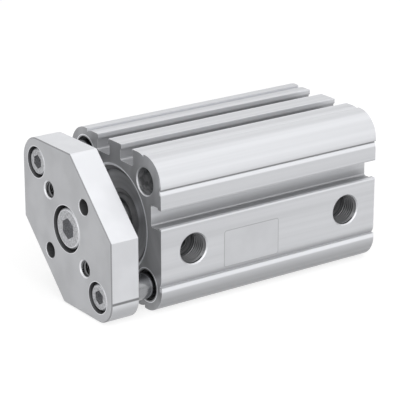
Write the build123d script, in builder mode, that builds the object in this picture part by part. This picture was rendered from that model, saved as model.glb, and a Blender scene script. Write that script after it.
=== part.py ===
from build123d import *
import math
import os

# A guided compact air cylinder, in millimetres.
# +X is the way the rod comes out, +Y is the side with the air ports and +Z is up.
# The origin is on the bore's axis in the rear end face, where the body is bolted down.

# Stroke and the stack along the axis
stroke = 40.0
piston_length = 11.0
front_cover_length = 14.5
rear_cover_length = 11.5
ring_setback = 1.3
ring_thickness = 1.2
bumper_stand = 0.7
end_gap = 0.3
plate_gap = 8.0
plate_thickness = 10.0

# Bore, covers and their seats
bore_radius = 16.0
cover_step = 0.5
cover_flange_length = 6.0
cover_neck_relief = 1.5
cover_edge_chamfer = 0.6
mouth_chamfer = 0.5
ring_groove_depth = 0.85
ring_overlap = 1.3
ring_lug_radius = 2.3
ring_lug_hole_radius = 1.1
ring_gap = 7.0
ring_gap_angle = 225.0
cover_dish_radius = 10.0
cover_dish_depth = 1.0

# Outline of the extruded profile: corner lobes, flats between them and a groove on each side of a lobe.
# The corner holes' pitch is 32.5, and it follows from the bore's mouth, a land and the screw sink.
corner_land = 1.381
lobe_wall = 4.3
groove_set = 1.1
groove_width = 0.55
groove_depth = 0.75
shoulder_run = 2.4
shoulder_drop = 0.5

# Sensor slots
slot_offset = 6.5
side_slot_height = 6.25
slot_mouth = 5.9
slot_width = 7.1
slot_depth = 5.3
slot_lip = 1.6
slot_floor_fillet = 0.8

# Air ports, G1/8
port_inset = 12.1
port_drop = 5.4
port_radius = 4.864
port_floor_wall = 0.85
port_mouth_chamfer = 0.386
port_passage_radius = 2.0

# Corner holes of the body, M6 at both ends
corner_thread_radius = 3.0
rear_thread_depth = 12.0
rear_thread_chamfer = 0.5
front_sink_radius = 4.2
front_sink_depth = 6.5
front_sink_chamfer = 0.4
front_thread_length = 12.0
corner_through_step = 0.4

# Rod, guide rods and what carries them
rod_radius = 6.0
rod_edge_chamfer = 0.5
rod_flat_depth = 1.0
rod_flat_margin = 1.0
rod_seat_depth = 1.5
spigot_step = 1.0
spigot_seal_depth = 0.8
spigot_seal_width = 1.6
spigot_seal_inset = 2.0
bush_wall = 1.0
rod_seal_wall = 3.0
rod_seal_length = 5.0
rod_seal_lip = 0.45
guide_rod_radius = 4.0
guide_corner_step = 0.75
guide_lobe_wall = 3.0
guide_rod_chamfer = 1.0
guide_hole_room = 0.75
guide_bush_wall = 1.0
guide_wiper_setback = 0.8
guide_wiper_length = 2.5
wiper_mouth_chamfer = 0.4
guide_bush_length = 16.2
guide_web = 4.0
guide_end_room = 4.0

# Seals, bumpers and the piston
cover_seal_inset = 1.7
cover_seal_groove_width = 2.6
cover_seal_groove_depth = 1.6
cover_seal_width = 2.2
cover_seal_fillet = 0.6
bumper_wall = 1.9
bumper_width = 2.6
bumper_groove_depth = 1.8
bumper_fillet = 0.4
piston_relief = 0.4
piston_seal_inset = 1.2
piston_seal_groove_width = 2.2
piston_seal_height = 3.0
piston_seal_width = 1.9
piston_seal_notch = 0.8
piston_seal_relief = 0.25
wear_ring_width = 3.0
wear_ring_seat_depth = 1.3
magnet_width = 2.6
magnet_wall = 2.1
magnet_height = 4.2
piston_screw_head_radius = 6.0
piston_screw_head_height = 3.5
piston_screw_sink = 3.6
piston_screw_shank_radius = 3.0
piston_screw_length = 14.0
piston_screw_key = 5.0
piston_screw_key_depth = 2.2
piston_screw_sink_room = 0.6

# Front plate and its screws
plate_corner_wall = 2.75
plate_cut_wall = 2.8
plate_edge_chamfer = 0.3
plate_hole_land = 2.041
plate_hole_radius = 2.5
plate_thread_sink = 0.5
plate_dowel_chamfer = 0.25
screw_setback = 0.5
centre_head_radius = 6.5
centre_head_height = 5.0
centre_sink_room = 1.0
centre_shank_radius = 4.0
centre_shank_length = 16.0
centre_key = 6.0
centre_key_depth = 3.0
guide_head_radius = 4.25
guide_head_height = 5.0
guide_sink_room = 0.75
guide_shank_radius = 2.5
guide_shank_length = 14.0
guide_key = 4.0
guide_key_depth = 2.5
head_edge_chamfer = 0.5
shank_room = 0.25
hole_end_room = 1.5

# Clearances: pieces pressed or screwed together, shafts in bushes, seals on their walls
press_gap = 0.02
run_gap = 0.04
seal_gap = 0.05

# Places along the axis
cover_inset = ring_setback + ring_thickness
rear_cover_end = cover_inset + rear_cover_length
piston_rear = rear_cover_end + bumper_stand + end_gap
piston_middle = piston_rear + piston_length / 2
piston_front = piston_rear + piston_length
front_cover_start = piston_front + stroke + end_gap + bumper_stand
front_cover_end = front_cover_start + front_cover_length
body_length = front_cover_end + cover_inset
plate_back = body_length + plate_gap
plate_front = plate_back + plate_thickness
rod_front = plate_back + rod_seat_depth
counterbore_depth = cover_inset + cover_flange_length
guide_hole_end = rear_thread_depth + guide_web
guide_rod_end = guide_hole_end + guide_end_room
centre_sink_depth = screw_setback + centre_head_height
guide_sink_depth = screw_setback + guide_head_height
centre_web = plate_thickness - rod_seat_depth - centre_sink_depth
guide_screw_web = plate_thickness - rod_seat_depth - guide_sink_depth
guide_bush_front = body_length - guide_wiper_setback - guide_wiper_length
guide_bush_rear = guide_bush_front - guide_bush_length
spigot_end = piston_rear + piston_screw_sink + press_gap

# Radii and places across the axis
cover_radius = bore_radius + cover_step
cover_neck_radius = bore_radius - cover_neck_relief
ring_groove_radius = cover_radius + ring_groove_depth
ring_inner_radius = cover_radius - ring_overlap
bumper_outer_radius = cover_neck_radius - bumper_wall
bumper_inner_radius = bumper_outer_radius - bumper_width
corner_reach = cover_radius + mouth_chamfer + corner_land + front_sink_chamfer + front_sink_radius
corner_offset = corner_reach / math.sqrt(2)
guide_offset = corner_offset + guide_corner_step
corner_through_radius = corner_thread_radius - corner_through_step
lobe_radius = front_sink_radius + lobe_wall
flat_half = corner_offset + lobe_radius
edge_groove_start = corner_offset - groove_set
edge_groove_end = edge_groove_start + groove_width
lobe_height = corner_offset + math.sqrt(lobe_radius**2 - (corner_offset - edge_groove_end) ** 2)
port_depth = flat_half - cover_radius - port_floor_wall
port_mouth_radius = port_radius + port_mouth_chamfer
rod_flat_width = 2 * (rod_radius - rod_flat_depth)
rod_seal_radius = rod_radius + rod_seal_wall
spigot_radius = rod_radius - spigot_step
guide_hole_radius = guide_rod_radius + guide_hole_room
guide_seat_radius = guide_rod_radius + guide_bush_wall
guide_lobe_radius = guide_seat_radius + guide_lobe_wall
piston_radius = bore_radius - piston_relief
piston_seal_groove_radius = bore_radius - piston_seal_height
wear_ring_seat_radius = piston_radius - wear_ring_seat_depth
magnet_outer_radius = wear_ring_seat_radius - magnet_wall
magnet_inner_radius = magnet_outer_radius - magnet_height
centre_sink_radius = centre_head_radius + centre_sink_room
guide_sink_radius = guide_head_radius + guide_sink_room
plate_corner_radius = guide_sink_radius + plate_corner_wall
plate_half = guide_offset + plate_corner_radius
guide_land_reach = guide_offset * math.sqrt(2) - guide_sink_radius
hole_reach = guide_land_reach - plate_hole_land - plate_thread_sink - plate_hole_radius
hole_offset = hole_reach / math.sqrt(2)
plate_cut_reach = hole_reach + plate_hole_radius + plate_cut_wall
plate_cut_start = plate_cut_reach * math.sqrt(2) - plate_half

# Corner places as (y, z): guides run in two opposite corners, a little further out than the screw holes
upper_guide = (-guide_offset, guide_offset)
lower_guide = (guide_offset, -guide_offset)
upper_corner = (corner_offset, corner_offset)
lower_corner = (-corner_offset, -corner_offset)

os.makedirs("parts", exist_ok=True)


def save(piece, name):
    """Label a finished piece and write it under its name."""
    piece.part.label = name
    export_step(piece.part, "parts/" + name + ".step")


def ring_section(start, end, inner, outer, rounding=0):
    """Half section of a ring about the X axis, from start to end along X."""
    with BuildSketch(Plane.XZ) as section:
        with Locations(((start + end) / 2, (inner + outer) / 2)):
            if rounding > 0:
                RectangleRounded(end - start, outer - inner, rounding)
            else:
                Rectangle(end - start, outer - inner)
    return section.sketch


def slot_section():
    """Section of one sensor slot, with its mouth at the top edge."""
    with BuildSketch() as section:
        Rectangle(slot_mouth, slot_depth, align=(Align.CENTER, Align.MAX))
        with Locations((0, -slot_lip)):
            Rectangle(slot_width, slot_depth - slot_lip, align=(Align.CENTER, Align.MAX))
        fillet(section.vertices().group_by(Axis.Y)[0], slot_floor_fillet)
    return section.sketch


def guide_lobe_section():
    """Section of the wider lobe round a guide hole, outside the grooves beside it."""
    span = 2 * guide_lobe_radius
    with BuildSketch() as section:
        with Locations((guide_offset, guide_offset)):
            Circle(guide_lobe_radius)
        with Locations((edge_groove_end, edge_groove_end)):
            Rectangle(span, span, align=(Align.MIN, Align.MIN), mode=Mode.INTERSECT)
    return section.sketch


# The extruded body. Slots are listed as a turn from the top face and a shift along that face.
slot_places = [
    (0, slot_offset),
    (0, -slot_offset),
    (90, slot_offset),
    (90, -slot_offset),
    (180, slot_offset),
    (180, -slot_offset),
    (-90, -side_slot_height),
]
lobe_overrun = math.degrees(math.asin((groove_set - groove_width) / lobe_radius))
port_places = [port_inset, body_length - port_inset]

with BuildPart() as profile_body:
    with BuildSketch(Plane.YZ):
        with BuildLine():
            flat = Line((0, flat_half), (edge_groove_start - shoulder_run, flat_half))
            shoulder = TangentArc(flat @ 1, (edge_groove_start, flat_half - shoulder_drop), tangent=flat % 1)
            Polyline(
                shoulder @ 1,
                (edge_groove_start, flat_half - groove_depth),
                (edge_groove_end, flat_half - groove_depth),
                (edge_groove_end, lobe_height),
            )
            mirror(about=Plane(origin=(0, 0, 0), z_dir=(1, -1, 0)))
            CenterArc((corner_offset, corner_offset), lobe_radius, -lobe_overrun, 90 + 2 * lobe_overrun)
            mirror(about=Plane.YZ)
            mirror(about=Plane.XZ)
        make_face()
        for turn in (90, -90):
            with Locations(Location((0, 0, 0), (0, 0, turn))):
                add(guide_lobe_section())
        for turn, shift in slot_places:
            place = Vector(shift, flat_half).rotate(Axis.Z, turn)
            with Locations(Location(place, (0, 0, turn))):
                add(slot_section(), mode=Mode.SUBTRACT)
    extrude(amount=body_length)
    # Stepped bore with a ring groove near each end
    with BuildSketch(Plane.XZ):
        with BuildLine():
            half_bore = Polyline(
                (body_length / 2, 0),
                (0, 0),
                (0, cover_radius + mouth_chamfer),
                (mouth_chamfer, cover_radius),
                (ring_setback, cover_radius),
                (ring_setback, ring_groove_radius),
                (cover_inset, ring_groove_radius),
                (cover_inset, cover_radius),
                (counterbore_depth, cover_radius),
                (counterbore_depth, bore_radius),
                (body_length / 2, bore_radius),
            )
            mirror(half_bore, about=Plane.YZ.offset(body_length / 2))
        make_face()
    revolve(axis=Axis.X, mode=Mode.SUBTRACT)
    # Guide holes, blind from the front
    with BuildSketch(Plane.YZ.offset(guide_hole_end)):
        with Locations(upper_guide, lower_guide):
            Circle(guide_hole_radius)
    extrude(amount=body_length - guide_hole_end, mode=Mode.SUBTRACT)
    with BuildSketch(Plane.YZ.offset(guide_bush_rear)):
        with Locations(upper_guide, lower_guide):
            Circle(guide_seat_radius)
    extrude(amount=body_length - guide_bush_rear, mode=Mode.SUBTRACT)
    # Screw holes in the other two corners, from the front
    with Locations(*[(body_length, y, z) for y, z in (upper_corner, lower_corner)]):
        with Locations(Location((0, 0, 0), (0, 90, 0))):
            CounterBoreHole(
                radius=corner_thread_radius,
                counter_bore_radius=front_sink_radius,
                counter_bore_depth=front_sink_depth,
                depth=front_sink_depth + front_thread_length,
            )
    with BuildSketch(Plane.YZ):
        with Locations(upper_corner, lower_corner):
            Circle(corner_through_radius)
    extrude(amount=body_length, mode=Mode.SUBTRACT)
    # Threads in all four corners, from the rear
    with BuildSketch(Plane.YZ):
        with GridLocations(2 * corner_offset, 2 * corner_offset, 2, 2):
            Circle(corner_thread_radius)
    extrude(amount=rear_thread_depth, mode=Mode.SUBTRACT)
    # Air ports and their passages into the bore
    for port_x in port_places:
        with Locations(Plane(origin=(port_x, flat_half, -port_drop), x_dir=(1, 0, 0), z_dir=(0, 1, 0))):
            CounterSinkHole(
                radius=port_radius,
                counter_sink_radius=port_mouth_radius,
                depth=port_depth,
                counter_sink_angle=90,
            )
            Hole(radius=port_passage_radius, depth=flat_half)
    # Broken edges of the round holes in the end faces
    front_edges = profile_body.faces().sort_by(Axis.X)[-1].edges().filter_by(GeomType.CIRCLE)
    rear_edges = profile_body.faces().sort_by(Axis.X)[0].edges().filter_by(GeomType.CIRCLE)
    sink_rims = front_edges.filter_by(lambda e: abs(e.radius - front_sink_radius) < press_gap)
    thread_rims = rear_edges.filter_by(lambda e: abs(e.radius - corner_thread_radius) < press_gap)
    chamfer(sink_rims, front_sink_chamfer)
    chamfer(thread_rims, rear_thread_chamfer)
save(profile_body, "profile_body")

# Covers: a flange against the step of the bore, a neck that leaves an air gap, and seal grooves
def cover_seal_span(end_face, inward):
    """Start and end along X of the seal groove of a cover, from its outer face inwards."""
    near = end_face + inward * cover_seal_inset
    far = near + inward * cover_seal_groove_width
    return min(near, far), max(near, far)


front_groove = cover_seal_span(front_cover_end, -1)
rear_groove = cover_seal_span(cover_inset, 1)
seal_groove_floor = cover_radius - cover_seal_groove_depth
bush_seat_radius = rod_radius + bush_wall + press_gap
bush_front = front_cover_end - rod_seal_length

with BuildPart() as front_cover:
    with BuildSketch(Plane.XZ):
        with BuildLine():
            Polyline(
                (front_cover_start, bush_seat_radius),
                (front_cover_start, cover_neck_radius),
                (front_cover_end - cover_flange_length, cover_neck_radius),
                (front_cover_end - cover_flange_length, cover_radius - press_gap),
                (front_cover_end - cover_edge_chamfer, cover_radius - press_gap),
                (front_cover_end, cover_radius - press_gap - cover_edge_chamfer),
                (front_cover_end, rod_seal_radius),
                (bush_front, rod_seal_radius),
                (bush_front, bush_seat_radius),
                close=True,
            )
        make_face()
    revolve(axis=Axis.X)
    revolve(ring_section(*front_groove, seal_groove_floor, cover_radius), axis=Axis.X, mode=Mode.SUBTRACT)
    bumper_groove = ring_section(
        front_cover_start, front_cover_start + bumper_groove_depth, bumper_inner_radius, bumper_outer_radius
    )
    revolve(bumper_groove, axis=Axis.X, mode=Mode.SUBTRACT)
save(front_cover, "front_cover")

with BuildPart() as rear_cover:
    with BuildSketch(Plane.XZ):
        with BuildLine():
            Polyline(
                (cover_inset + cover_dish_depth, 0),
                (cover_inset + cover_dish_depth, cover_dish_radius),
                (cover_inset, cover_dish_radius + cover_dish_depth),
                (cover_inset, cover_radius - press_gap - cover_edge_chamfer),
                (cover_inset + cover_edge_chamfer, cover_radius - press_gap),
                (counterbore_depth, cover_radius - press_gap),
                (counterbore_depth, cover_neck_radius),
                (rear_cover_end, cover_neck_radius),
                (rear_cover_end, 0),
                close=True,
            )
        make_face()
    revolve(axis=Axis.X)
    revolve(ring_section(*rear_groove, seal_groove_floor, cover_radius), axis=Axis.X, mode=Mode.SUBTRACT)
    bumper_groove = ring_section(
        rear_cover_end - bumper_groove_depth, rear_cover_end, bumper_inner_radius, bumper_outer_radius
    )
    revolve(bumper_groove, axis=Axis.X, mode=Mode.SUBTRACT)
save(rear_cover, "rear_cover")

# Spring rings that hold the covers in, with a gap between two drilled lugs
ring_outer_radius = ring_groove_radius - seal_gap
lug_centre_radius = ring_inner_radius - ring_lug_radius / 2
lug_swing = math.degrees((ring_gap / 2 + ring_lug_radius) / lug_centre_radius)


def retaining_ring_section(place):
    """Flat outline of a retaining ring, at a place along X."""
    with BuildSketch(Plane.YZ.offset(place)) as section:
        Circle(ring_outer_radius)
        Circle(ring_inner_radius, mode=Mode.SUBTRACT)
        with PolarLocations(ring_outer_radius, 1, start_angle=ring_gap_angle):
            Rectangle(2 * ring_outer_radius, ring_gap, mode=Mode.SUBTRACT)
        with PolarLocations(lug_centre_radius, 2, ring_gap_angle - lug_swing, 2 * lug_swing, endpoint=True):
            Circle(ring_lug_radius)
            Circle(ring_lug_hole_radius, mode=Mode.SUBTRACT)
    return section.sketch


with BuildPart() as front_retaining_ring:
    extrude(retaining_ring_section(front_cover_end), amount=ring_thickness)
save(front_retaining_ring, "front_retaining_ring")

with BuildPart() as rear_retaining_ring:
    extrude(retaining_ring_section(ring_setback), amount=ring_thickness)
save(rear_retaining_ring, "rear_retaining_ring")

# Seals and bumpers of the covers
for name, groove_span in (("front_cover_seal", front_groove), ("rear_cover_seal", rear_groove)):
    groove_middle = sum(groove_span) / 2
    with BuildPart() as cover_seal:
        seal_section = ring_section(
            groove_middle - cover_seal_width / 2,
            groove_middle + cover_seal_width / 2,
            seal_groove_floor + press_gap,
            cover_radius - press_gap,
            cover_seal_fillet,
        )
        revolve(seal_section, axis=Axis.X)
    save(cover_seal, name)

bumper_places = {
    "front_bumper": (front_cover_start - bumper_stand, front_cover_start + bumper_groove_depth - press_gap),
    "rear_bumper": (rear_cover_end - bumper_groove_depth + press_gap, rear_cover_end + bumper_stand),
}
for name, (bumper_start, bumper_end) in bumper_places.items():
    with BuildPart() as bumper:
        bumper_section = ring_section(
            bumper_start,
            bumper_end,
            bumper_inner_radius + press_gap,
            bumper_outer_radius - press_gap,
            bumper_fillet,
        )
        revolve(bumper_section, axis=Axis.X)
    save(bumper, name)

# Bush and wiping seal of the rod
with BuildPart() as rod_bush:
    bush_section = ring_section(
        front_cover_start, bush_front, rod_radius + run_gap, rod_radius + bush_wall
    )
    revolve(bush_section, axis=Axis.X)
save(rod_bush, "rod_bush")

seal_back_radius = rod_radius + rod_seal_lip
with BuildPart() as rod_seal:
    with BuildSketch(Plane.XZ):
        with BuildLine():
            Polyline(
                (bush_front, seal_back_radius),
                (bush_front + 2 * rod_seal_lip, rod_radius + seal_gap),
                (bush_front + 4 * rod_seal_lip, rod_radius + seal_gap),
                (bush_front + 5 * rod_seal_lip, seal_back_radius),
                (front_cover_end - 3 * rod_seal_lip, seal_back_radius),
                (front_cover_end, rod_radius + seal_gap),
                (front_cover_end + rod_seal_lip, rod_radius + seal_gap),
                (front_cover_end + rod_seal_lip, seal_back_radius),
                (front_cover_end - rod_seal_lip, seal_back_radius + 2 * rod_seal_lip),
                (front_cover_end, seal_back_radius + 3 * rod_seal_lip),
                (front_cover_end, rod_seal_radius - press_gap),
                (bush_front, rod_seal_radius - press_gap),
                close=True,
            )
        make_face()
    revolve(axis=Axis.X)
save(rod_seal, "rod_seal")

# Bushes and wipers of the guide rods, in their two corners
for corner_name, corner in (("upper", upper_guide), ("lower", lower_guide)):
    with BuildPart() as guide_bush:
        with BuildSketch(Plane.YZ.offset(guide_bush_rear)):
            with Locations(corner):
                Circle(guide_seat_radius - press_gap)
                Circle(guide_rod_radius + run_gap, mode=Mode.SUBTRACT)
        extrude(amount=guide_bush_length)
    save(guide_bush, "guide_bush_" + corner_name)
    with BuildPart() as guide_wiper:
        with BuildSketch(Plane.YZ.offset(guide_bush_front)):
            with Locations(corner):
                Circle(guide_seat_radius - press_gap)
                Circle(guide_rod_radius + seal_gap, mode=Mode.SUBTRACT)
        extrude(amount=guide_wiper_length)
        wiper_mouth = guide_wiper.faces().sort_by(Axis.X)[-1].edges().sort_by(SortBy.RADIUS)[0]
        chamfer(wiper_mouth, wiper_mouth_chamfer)
    save(guide_wiper, "guide_wiper_" + corner_name)

# Piston rod: a spigot for the piston, a threaded front end and two spanner flats
spigot_groove = piston_front - spigot_seal_inset - spigot_seal_width
with BuildPart() as piston_rod:
    with BuildSketch(Plane.XZ):
        with BuildLine():
            Polyline(
                (spigot_end, 0),
                (spigot_end, spigot_radius - rod_edge_chamfer),
                (spigot_end + rod_edge_chamfer, spigot_radius),
                (piston_front, spigot_radius),
                (piston_front, rod_radius),
                (rod_front - rod_edge_chamfer, rod_radius),
                (rod_front, rod_radius - rod_edge_chamfer),
                (rod_front, 0),
                close=True,
            )
        make_face()
    revolve(axis=Axis.X)
    spigot_groove_section = ring_section(
        spigot_groove,
        spigot_groove + spigot_seal_width,
        spigot_radius - spigot_seal_depth,
        spigot_radius,
    )
    revolve(spigot_groove_section, axis=Axis.X, mode=Mode.SUBTRACT)
    with BuildSketch(Plane.YZ.offset(spigot_end)):
        Circle(piston_screw_shank_radius + press_gap)
    extrude(amount=piston_screw_length + hole_end_room, mode=Mode.SUBTRACT)
    with BuildSketch(Plane.YZ.offset(rod_front)):
        Circle(centre_shank_radius + press_gap)
    extrude(amount=-(centre_shank_length - centre_web + hole_end_room), mode=Mode.SUBTRACT)
    with BuildSketch(Plane.YZ.offset(body_length + rod_flat_margin)):
        Circle(2 * rod_radius)
        Rectangle(4 * rod_radius, rod_flat_width, mode=Mode.SUBTRACT)
    extrude(amount=plate_gap - 2 * rod_flat_margin, mode=Mode.SUBTRACT)
save(piston_rod, "piston_rod")

with BuildPart() as spigot_seal:
    spigot_seal_section = ring_section(
        spigot_groove + press_gap,
        spigot_groove + spigot_seal_width - press_gap,
        spigot_radius - spigot_seal_depth + press_gap,
        spigot_radius,
        spigot_seal_depth / 3,
    )
    revolve(spigot_seal_section, axis=Axis.X)
save(spigot_seal, "spigot_seal")

# Piston in two halves, clamped against the rod, with a magnet and a wear ring between them
spigot_hole_radius = spigot_radius + press_gap
screw_sink_radius = piston_screw_head_radius + piston_screw_sink_room
half_length = piston_length / 2
wear_seat_start = half_length - wear_ring_width / 2
magnet_seat_start = half_length - magnet_width / 2
seal_groove_end = piston_seal_inset + piston_seal_groove_width


def piston_half_points(face, inward, sink_depth, sink_radius):
    """Half section of a piston half as (x, radius), from its outer face to the middle of the piston."""
    points = [
        (0, sink_radius),
        (0, piston_radius),
        (piston_seal_inset, piston_radius),
        (piston_seal_inset, piston_seal_groove_radius),
        (seal_groove_end, piston_seal_groove_radius),
        (seal_groove_end, piston_radius),
        (wear_seat_start, piston_radius),
        (wear_seat_start, wear_ring_seat_radius),
        (half_length, wear_ring_seat_radius),
        (half_length, magnet_outer_radius),
        (magnet_seat_start, magnet_outer_radius),
        (magnet_seat_start, magnet_inner_radius),
        (half_length, magnet_inner_radius),
        (half_length, spigot_hole_radius),
    ]
    if sink_depth > 0:
        points += [(sink_depth, spigot_hole_radius), (sink_depth, sink_radius)]
    return [(face + inward * depth, radius) for depth, radius in points]


with BuildPart() as piston_front_half:
    with BuildSketch(Plane.XZ):
        with BuildLine():
            Polyline(piston_half_points(piston_front, -1, 0, spigot_hole_radius), close=True)
        make_face()
    revolve(axis=Axis.X)
save(piston_front_half, "piston_front_half")

with BuildPart() as piston_rear_half:
    with BuildSketch(Plane.XZ):
        with BuildLine():
            Polyline(piston_half_points(piston_rear, 1, piston_screw_sink, screw_sink_radius), close=True)
        make_face()
    revolve(axis=Axis.X)
save(piston_rear_half, "piston_rear_half")

with BuildPart() as piston_magnet:
    magnet_section = ring_section(
        piston_middle - magnet_width / 2 + press_gap,
        piston_middle + magnet_width / 2 - press_gap,
        magnet_inner_radius + press_gap,
        magnet_outer_radius - press_gap,
    )
    revolve(magnet_section, axis=Axis.X)
save(piston_magnet, "piston_magnet")

with BuildPart() as piston_wear_ring:
    wear_ring_section = ring_section(
        piston_middle - wear_ring_width / 2 + press_gap,
        piston_middle + wear_ring_width / 2 - press_gap,
        wear_ring_seat_radius + press_gap,
        bore_radius - seal_gap,
    )
    revolve(wear_ring_section, axis=Axis.X)
save(piston_wear_ring, "piston_wear_ring")

# Lip seals of the piston, each with its lips towards its own chamber
lip_inner = piston_seal_groove_radius + press_gap
lip_outer = bore_radius - seal_gap
lip_width = (lip_outer - lip_inner) / 3
for name, face, inward in (("piston_seal_front", piston_front, -1), ("piston_seal_rear", piston_rear, 1)):
    lip_front = face + inward * (piston_seal_inset + press_gap)
    lip_back = lip_front + inward * piston_seal_width
    with BuildPart() as piston_seal:
        with BuildSketch(Plane.XZ):
            with BuildLine():
                Polyline(
                    (lip_front, lip_inner),
                    (lip_front, lip_inner + lip_width),
                    (lip_front + inward * piston_seal_notch, lip_inner + 3 * lip_width / 2),
                    (lip_front, lip_outer - lip_width),
                    (lip_front, lip_outer),
                    (lip_back, lip_outer - piston_seal_relief),
                    (lip_back, lip_inner),
                    close=True,
                )
            make_face()
        revolve(axis=Axis.X)
    save(piston_seal, name)


def socket_screw(place, head_radius, head_height, shank_radius, shank_length, key, key_depth):
    """Socket-head screw. Its head's outer face lies on the place and its shank points backwards."""
    along = Axis(place.origin, place.z_dir)
    with BuildPart() as screw:
        with BuildSketch(place):
            Circle(head_radius)
        extrude(amount=-head_height)
        chamfer(screw.faces().sort_by(along)[-1].edges(), head_edge_chamfer)
        with BuildSketch(place.offset(-head_height)):
            Circle(shank_radius)
        extrude(amount=-shank_length)
        chamfer(screw.faces().sort_by(along)[0].edges(), head_edge_chamfer)
        with BuildSketch(place):
            RegularPolygon(key / 2, 6, major_radius=False, rotation=30)
        extrude(amount=-key_depth, mode=Mode.SUBTRACT)
    return screw


piston_screw_end = piston_rear + piston_screw_sink - piston_screw_head_height
piston_screw_place = Plane(origin=(piston_screw_end, 0, 0), x_dir=(0, 1, 0), z_dir=(-1, 0, 0))
piston_screw = socket_screw(
    piston_screw_place,
    piston_screw_head_radius,
    piston_screw_head_height,
    piston_screw_shank_radius,
    piston_screw_length,
    piston_screw_key,
    piston_screw_key_depth,
)
save(piston_screw, "piston_screw")

# Front plate: square, rounded round the guide screws and cut straight across the other two corners
with BuildPart() as front_plate:
    with BuildSketch(Plane.YZ.offset(plate_back)) as plate_outline:
        Rectangle(2 * plate_half, 2 * plate_half)
        chamfer(plate_outline.vertices().filter_by(lambda v: v.X * v.Y > 0), plate_half - plate_cut_start)
        guide_corners = plate_outline.vertices().filter_by(lambda v: v.X * v.Y < -guide_offset**2)
        fillet(guide_corners, plate_corner_radius)
    extrude(amount=plate_thickness)
    plate_faces = front_plate.faces().sort_by(Axis.X)
    chamfer(plate_faces[0].edges() + plate_faces[-1].edges(), plate_edge_chamfer)
    # Seats of the rod and guide rods in the back
    with BuildSketch(Plane.YZ.offset(plate_back)):
        Circle(rod_radius + press_gap)
        with Locations(upper_guide, lower_guide):
            Circle(guide_rod_radius + press_gap)
    extrude(amount=rod_seat_depth, mode=Mode.SUBTRACT)
    # Screw holes and the sinks of their heads
    with BuildSketch(Plane.YZ.offset(plate_back)):
        Circle(centre_shank_radius + shank_room)
        with Locations(upper_guide, lower_guide):
            Circle(guide_shank_radius + shank_room)
        with Locations((-hole_offset, hole_offset), (hole_offset, -hole_offset)):
            Circle(plate_hole_radius)
        with Locations((hole_offset, hole_offset), (-hole_offset, -hole_offset)):
            Circle(plate_hole_radius)
    extrude(amount=plate_thickness, mode=Mode.SUBTRACT)
    with BuildSketch(Plane.YZ.offset(plate_front)):
        Circle(centre_sink_radius)
    extrude(amount=-centre_sink_depth, mode=Mode.SUBTRACT)
    with BuildSketch(Plane.YZ.offset(plate_front)):
        with Locations(upper_guide, lower_guide):
            Circle(guide_sink_radius)
    extrude(amount=-guide_sink_depth, mode=Mode.SUBTRACT)
    # Lead-ins of the threaded holes on one diagonal and of the dowel holes on the other
    for face_index in (0, -1):
        rims = front_plate.faces().sort_by(Axis.X)[face_index].edges().filter_by(GeomType.CIRCLE)
        small_rims = rims.filter_by(lambda e: e.radius < plate_hole_radius + press_gap)
        threaded_rims = small_rims.filter_by(lambda e: e.arc_center.Y * e.arc_center.Z < 0)
        dowel_rims = small_rims.filter_by(lambda e: e.arc_center.Y * e.arc_center.Z > 0)
        chamfer(threaded_rims, plate_thread_sink)
        chamfer(dowel_rims, plate_dowel_chamfer)
save(front_plate, "front_plate")

plate_centre_screw = socket_screw(
    Plane.YZ.offset(plate_front - screw_setback),
    centre_head_radius,
    centre_head_height,
    centre_shank_radius,
    centre_shank_length,
    centre_key,
    centre_key_depth,
)
save(plate_centre_screw, "plate_centre_screw")

# Guide rods and the screws that hold them to the plate
for corner_name, corner in (("upper", upper_guide), ("lower", lower_guide)):
    with BuildPart() as guide_rod:
        with BuildSketch(Plane.YZ.offset(guide_rod_end)):
            with Locations(corner):
                Circle(guide_rod_radius)
        extrude(amount=rod_front - guide_rod_end)
        chamfer(guide_rod.faces().sort_by(Axis.X)[0].edges(), guide_rod_chamfer)
        with BuildSketch(Plane.YZ.offset(rod_front)):
            with Locations(corner):
                Circle(guide_shank_radius + press_gap)
        extrude(amount=-(guide_shank_length - guide_screw_web + hole_end_room), mode=Mode.SUBTRACT)
    save(guide_rod, "guide_rod_" + corner_name)
    guide_screw = socket_screw(
        Plane(origin=(plate_front - screw_setback, *corner), x_dir=(0, 1, 0), z_dir=(1, 0, 0)),
        guide_head_radius,
        guide_head_height,
        guide_shank_radius,
        guide_shank_length,
        guide_key,
        guide_key_depth,
    )
    save(guide_screw, "guide_screw_" + corner_name)
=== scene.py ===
"""Looks of a guided compact air cylinder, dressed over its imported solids.

Lengths are in metres and the frame is the solids' own: +X is the way the rod comes out,
+Y is the side with the air ports and +Z is up.
"""

import logging
import math
from dataclasses import dataclass, field, replace
from enum import Enum

import bpy
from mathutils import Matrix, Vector


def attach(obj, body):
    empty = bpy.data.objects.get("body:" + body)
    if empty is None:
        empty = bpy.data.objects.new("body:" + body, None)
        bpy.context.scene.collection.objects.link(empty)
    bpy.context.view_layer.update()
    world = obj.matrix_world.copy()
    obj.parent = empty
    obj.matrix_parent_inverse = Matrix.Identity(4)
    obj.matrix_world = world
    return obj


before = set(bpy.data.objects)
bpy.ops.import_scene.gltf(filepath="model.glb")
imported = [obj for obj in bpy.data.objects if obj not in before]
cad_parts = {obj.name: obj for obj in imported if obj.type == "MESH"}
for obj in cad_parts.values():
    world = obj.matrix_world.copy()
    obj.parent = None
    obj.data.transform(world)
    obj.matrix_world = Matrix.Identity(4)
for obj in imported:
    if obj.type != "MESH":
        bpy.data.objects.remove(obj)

log = logging.getLogger("air_cylinder")

MM = 0.001
COOL_TINT = (0.98, 0.985, 1.0)
WHITE = (1.0, 1.0, 1.0, 1.0)
LEVEL_SKIN = 0.02

Pair = tuple[float, float]
Triple = tuple[float, float, float]
Four = tuple[float, float, float, float]
Socket = bpy.types.NodeSocket
Source = Socket | float | tuple[float, ...]


class Body(Enum):
    """The two bodies that the pieces ride on."""

    HOUSING = "cylinder_body"
    ROD = "rod_and_plate"


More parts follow.
